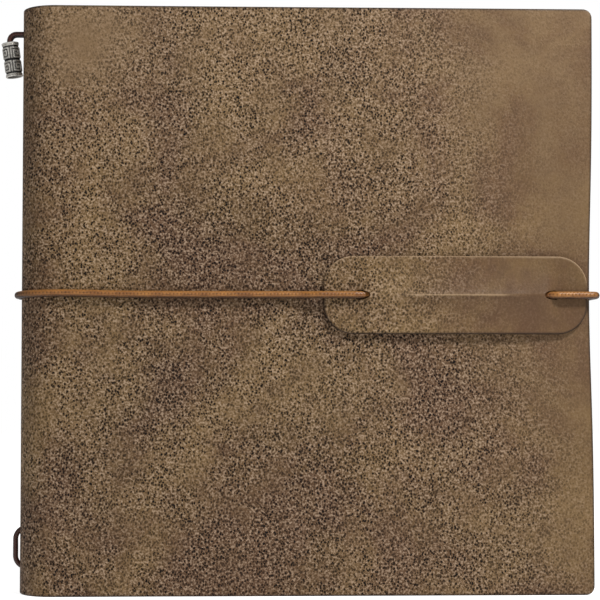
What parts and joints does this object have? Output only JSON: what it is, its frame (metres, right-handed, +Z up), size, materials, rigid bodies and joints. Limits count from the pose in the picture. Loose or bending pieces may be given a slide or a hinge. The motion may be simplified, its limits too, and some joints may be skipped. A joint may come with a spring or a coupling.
{
  "type": "scrapbook album",
  "caption": "Square wrap-around leather album with kraft booklets, an elastic closure cord through a leather tab, a threaded spine and a metal bead.",
  "frame": {"origin": "foot of the spine, halfway through the leather, at the spine's outermost line", "axes": "+X from the spine to the fore-edge, +Z up the album's height, -Y out of the front cover that carries the tab"},
  "size_m": [0.2211, 0.0333, 0.215],
  "materials": {
    "cover_leather": "satin",
    "tab_leather": "satin",
    "closure_elastic": "satin",
    "binding_elastic": "satin",
    "band_elastic": "matte",
    "bead_metal": "brushed",
    "kraft_paper": "matte"
  },
  "bodies": {
    "spine": {"spine_leather": "cover_leather", "binding_cord": "binding_elastic", "closure_cord": "closure_elastic", "booklet_1_fold": "kraft_paper", "booklet_2_fold": "kraft_paper", "booklet_3_fold": "kraft_paper", "booklet_4_fold": "kraft_paper", "connecting_band_front": "band_elastic", "connecting_band_back": "band_elastic"},
    "front_cover": {"front_cover": "cover_leather"},
    "back_cover": {"back_cover": "cover_leather"},
    "closure_tab": {"closure_tab": "tab_leather"},
    "spine_bead": {"spine_bead": "bead_metal"},
    "booklet_1_front_leaves": {"booklet_1_front_leaves": "kraft_paper"},
    "booklet_1_back_leaves": {"booklet_1_back_leaves": "kraft_paper"},
    "booklet_2_front_leaves": {"booklet_2_front_leaves": "kraft_paper"},
    "booklet_2_back_leaves": {"booklet_2_back_leaves": "kraft_paper"},
    "booklet_3_front_leaves": {"booklet_3_front_leaves": "kraft_paper"},
    "booklet_3_back_leaves": {"booklet_3_back_leaves": "kraft_paper"},
    "booklet_4_front_leaves": {"booklet_4_front_leaves": "kraft_paper"},
    "booklet_4_back_leaves": {"booklet_4_back_leaves": "kraft_paper"}
  },
  "joints": [
    {"name": "front_cover_hinge", "type": "hinge", "parent": "spine", "child": "front_cover", "pos_m": [0.0121, -0.0121, 0], "axis": [0, 0, -1], "range_deg": [0, 90], "deforming": ["closure_cord"]},
    {"name": "back_cover_hinge", "type": "hinge", "parent": "spine", "child": "back_cover", "pos_m": [0.0121, 0.0121, 0], "axis": [0, 0, 1], "range_deg": [0, 90]},
    {"name": "booklet_1_front_leaves_turn", "type": "hinge", "parent": "spine", "child": "booklet_1_front_leaves", "pos_m": [0.0136, -0.00962, 0], "axis": [0, 0, -1], "range_deg": [0, 70]},
    {"name": "booklet_1_back_leaves_turn", "type": "hinge", "parent": "spine", "child": "booklet_1_back_leaves", "pos_m": [0.0136, -0.00688, 0], "axis": [0, 0, -1], "range_deg": [0, 50]},
    {"name": "booklet_2_front_leaves_turn", "type": "hinge", "parent": "spine", "child": "booklet_2_front_leaves", "pos_m": [0.0136, -0.00413, 0], "axis": [0, 0, -1], "range_deg": [0, 30]},
    {"name": "booklet_2_back_leaves_turn", "type": "hinge", "parent": "spine", "child": "booklet_2_back_leaves", "pos_m": [0.0136, -0.00137, 0], "axis": [0, 0, -1], "range_deg": [0, 10]},
    {"name": "booklet_3_front_leaves_turn", "type": "hinge", "parent": "spine", "child": "booklet_3_front_leaves", "pos_m": [0.0136, 0.00137, 0], "axis": [0, 0, 1], "range_deg": [0, 10]},
    {"name": "booklet_3_back_leaves_turn", "type": "hinge", "parent": "spine", "child": "booklet_3_back_leaves", "pos_m": [0.0136, 0.00413, 0], "axis": [0, 0, 1], "range_deg": [0, 30]},
    {"name": "booklet_4_front_leaves_turn", "type": "hinge", "parent": "spine", "child": "booklet_4_front_leaves", "pos_m": [0.0136, 0.00688, 0], "axis": [0, 0, 1], "range_deg": [0, 50]},
    {"name": "booklet_4_back_leaves_turn", "type": "hinge", "parent": "spine", "child": "booklet_4_back_leaves", "pos_m": [0.0136, 0.00962, 0], "axis": [0, 0, 1], "range_deg": [0, 70]},
    {"name": "tab_slide", "type": "slide", "parent": "front_cover", "child": "closure_tab", "axis": [1, 0, 0], "range_m": [-0.055, 0], "deforming": ["closure_cord"]},
    {"name": "bead_spin", "type": "hinge", "parent": "spine", "child": "spine_bead", "pos_m": [-0.0051, 0, 0.19675], "axis": [-0.1392, 0, 0.9903], "continuous": true}
  ],
  "couplings": [
    {"joint": "back_cover_hinge", "follows": "front_cover_hinge", "ratio": 1},
    {"joint": "booklet_1_front_leaves_turn", "follows": "front_cover_hinge", "ratio": 0.77778},
    {"joint": "booklet_1_back_leaves_turn", "follows": "front_cover_hinge", "ratio": 0.55556},
    {"joint": "booklet_2_front_leaves_turn", "follows": "front_cover_hinge", "ratio": 0.33333},
    {"joint": "booklet_2_back_leaves_turn", "follows": "front_cover_hinge", "ratio": 0.11111},
    {"joint": "booklet_3_front_leaves_turn", "follows": "front_cover_hinge", "ratio": 0.11111},
    {"joint": "booklet_3_back_leaves_turn", "follows": "front_cover_hinge", "ratio": 0.33333},
    {"joint": "booklet_4_front_leaves_turn", "follows": "front_cover_hinge", "ratio": 0.55556},
    {"joint": "booklet_4_back_leaves_turn", "follows": "front_cover_hinge", "ratio": 0.77778}
  ]
}
